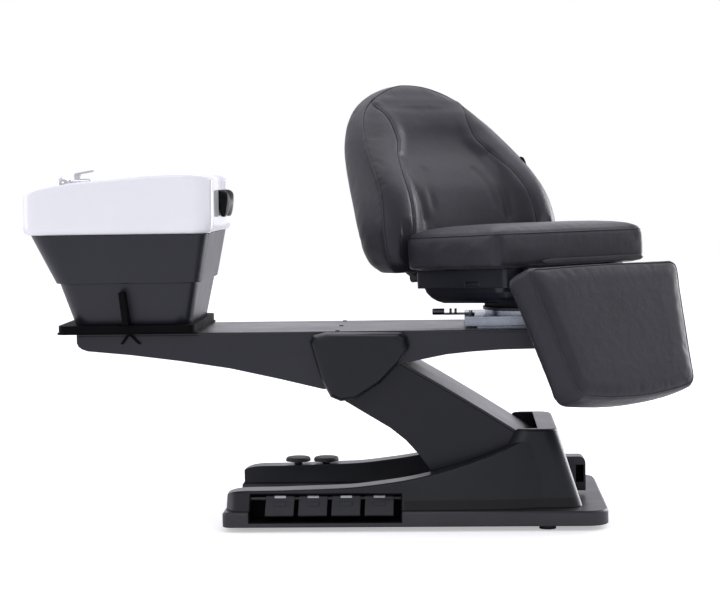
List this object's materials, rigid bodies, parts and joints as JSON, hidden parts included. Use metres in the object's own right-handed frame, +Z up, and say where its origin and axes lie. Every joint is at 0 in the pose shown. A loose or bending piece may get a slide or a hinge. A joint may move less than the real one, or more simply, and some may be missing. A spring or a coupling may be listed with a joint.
{
  "type": "hair washing bed",
  "caption": "Reclining salon hair washing bed: swivelling padded seat and legrest with a ceramic basin on one beam, carried by an electric lift arm on a U-shaped base with foot pedals.",
  "frame": {"origin": "on the floor, under the middle of the base", "axes": "+X from the basin towards the seat, +Z up, the foot pedals on the -Y side"},
  "size_m": [1.8319, 1.0213, 1.235],
  "materials": {
    "frame_steel": "satin powder coat",
    "dark_plastic": "satin moulded",
    "pale_plastic": "fine textured",
    "black_plastic": "matte",
    "bush_bronze": "turned",
    "bright_steel": "ground",
    "zinc_steel": "zinc plated",
    "basin_ceramic": "glossy",
    "chrome_metal": "polished",
    "black_rubber": "soft matte",
    "button_rubber": "satin",
    "dark_leather": "soft sheen"
  },
  "bodies": {
    "base": {"chassis": "frame_steel", "base_skirt": "dark_plastic", "base_cover": "dark_plastic", "pedal_bay": "black_plastic", "pedal_shaft": "bright_steel", "inlet_housing": "dark_plastic", "inlet_socket": "black_plastic", "control_box": "black_plastic", "main_shaft": "bright_steel", "link_base_pin": "bright_steel", "foot_1": "black_rubber", "foot_2": "black_rubber", "foot_3": "black_rubber", "foot_4": "black_rubber"},
    "lift_arm": {"arm_frame": "frame_steel", "arm_bush_near": "bush_bronze", "arm_bush_far": "bush_bronze", "arm_cover": "dark_plastic", "arm_lid": "pale_plastic"},
    "parallel_link": {"parallel_link": "zinc_steel"},
    "actuator_tube": {"actuator_tube": "zinc_steel"},
    "actuator_rod": {"actuator_rod": "bright_steel"},
    "beam": {"beam_frame": "frame_steel", "beam_cover": "dark_plastic", "beam_lid": "pale_plastic", "beam_pin": "bright_steel", "link_beam_pin": "bright_steel", "hinge_cover_near": "dark_plastic", "hinge_cover_far": "dark_plastic", "basin_tray": "dark_plastic", "basin_shell": "dark_plastic", "basin": "basin_ceramic", "neck_rest": "black_rubber", "drain": "chrome_metal", "faucet_body": "chrome_metal", "grip_bar": "zinc_steel", "forked_stay": "zinc_steel", "slide_base": "zinc_steel"},
    "faucet_lever": {"faucet_lever": "chrome_metal"},
    "carriage": {"carriage": "zinc_steel", "swivel_race": "zinc_steel"},
    "lock_lever": {"lock_lever": "zinc_steel"},
    "seat": {"seat_frame": "frame_steel", "seat_housing": "dark_plastic", "seat_cushion": "dark_leather", "seat_flap": "dark_leather"},
    "backrest": {"back_frame": "frame_steel", "back_cushion": "dark_leather", "back_tab": "black_plastic"},
    "legrest": {"legrest_frame": "frame_steel", "legrest_cushion": "dark_leather"},
    "pedal_1": {"pedal_1": "dark_plastic"},
    "pedal_2": {"pedal_2": "dark_plastic"},
    "pedal_3": {"pedal_3": "dark_plastic"},
    "pedal_4": {"pedal_4": "dark_plastic"},
    "foot_button_1": {"foot_button_1": "button_rubber"},
    "foot_button_2": {"foot_button_2": "button_rubber"}
  },
  "joints": [
    {"name": "lift", "type": "hinge", "parent": "base", "child": "lift_arm", "pos_m": [0.345, 0, 0.14], "axis": [0, 1, 0], "range_deg": [-20, 0]},
    {"name": "beam_level", "type": "hinge", "parent": "lift_arm", "child": "beam", "pos_m": [-0.15, 0, 0.425], "axis": [0, 1, 0], "range_deg": [0, 20]},
    {"name": "link_swing", "type": "hinge", "parent": "base", "child": "parallel_link", "pos_m": [0.318, 0.057, 0.09], "axis": [0, 1, 0], "range_deg": [-20, 0]},
    {"name": "actuator_swing", "type": "hinge", "parent": "base", "child": "actuator_tube", "pos_m": [0.23, -0.025, 0.062], "axis": [0, 1, 0], "range_deg": [-23.5, 0]},
    {"name": "actuator_extend", "type": "slide", "parent": "actuator_tube", "child": "actuator_rod", "axis": [-0.7083, 0, 0.7059], "range_m": [-0.0455, 0]},
    {"name": "seat_slide", "type": "slide", "parent": "beam", "child": "carriage", "axis": [1, 0, 0], "range_m": [0, 0.08]},
    {"name": "swivel", "type": "hinge", "parent": "carriage", "child": "seat", "pos_m": [0.325, 0, 0.6], "axis": [0, 0, 1], "range_deg": [-40, 140]},
    {"name": "recline", "type": "hinge", "parent": "seat", "child": "backrest", "pos_m": [0.17394, 0.18002, 0.668], "axis": [-0.766, -0.6428, 0], "range_deg": [0, 50]},
    {"name": "legrest_lift", "type": "hinge", "parent": "seat", "child": "legrest", "pos_m": [0.45291, -0.15244, 0.7], "axis": [-0.766, -0.6428, 0], "range_deg": [0, 65]},
    {"name": "lock_turn", "type": "hinge", "parent": "carriage", "child": "lock_lever", "pos_m": [0.172, -0.06, 0.58], "axis": [0, 0, 1], "range_deg": [-12, 12]},
    {"name": "faucet_lift", "type": "hinge", "parent": "beam", "child": "faucet_lever", "pos_m": [-0.947, 0, 0.975], "axis": [0, -1, 0], "range_deg": [0, 20]},
    {"name": "pedal_1_press", "type": "hinge", "parent": "base", "child": "pedal_1", "pos_m": [-0.355, -0.264, 0.084], "axis": [1, 0, 0], "range_deg": [0, 7], "stiffness_Nm_per_rad": 12, "springref_deg": -8.59},
    {"name": "pedal_2_press", "type": "hinge", "parent": "base", "child": "pedal_2", "pos_m": [-0.264, -0.264, 0.084], "axis": [1, 0, 0], "range_deg": [0, 7], "stiffness_Nm_per_rad": 12, "springref_deg": -8.59},
    {"name": "pedal_3_press", "type": "hinge", "parent": "base", "child": "pedal_3", "pos_m": [-0.1735, -0.264, 0.084], "axis": [1, 0, 0], "range_deg": [0, 7], "stiffness_Nm_per_rad": 12, "springref_deg": -8.59},
    {"name": "pedal_4_press", "type": "hinge", "parent": "base", "child": "pedal_4", "pos_m": [-0.081, -0.264, 0.084], "axis": [1, 0, 0], "range_deg": [0, 7], "stiffness_Nm_per_rad": 12, "springref_deg": -8.59},
    {"name": "foot_button_1_press", "type": "slide", "parent": "base", "child": "foot_button_1", "axis": [0, 0, -1], "range_m": [0, 0.004], "stiffness_N_per_m": 1500, "springref_m": -0.003},
    {"name": "foot_button_2_press", "type": "slide", "parent": "base", "child": "foot_button_2", "axis": [0, 0, -1], "range_m": [0, 0.004], "stiffness_N_per_m": 1500, "springref_m": -0.003}
  ],
  "couplings": [
    {"joint": "beam_level", "follows": "lift", "ratio": -1},
    {"joint": "link_swing", "follows": "lift", "ratio": 1},
    {"joint": "actuator_swing", "follows": "lift", "ratio": 1.1671},
    {"joint": "actuator_extend", "follows": "lift", "m_per_rad": 0.12923}
  ]
}
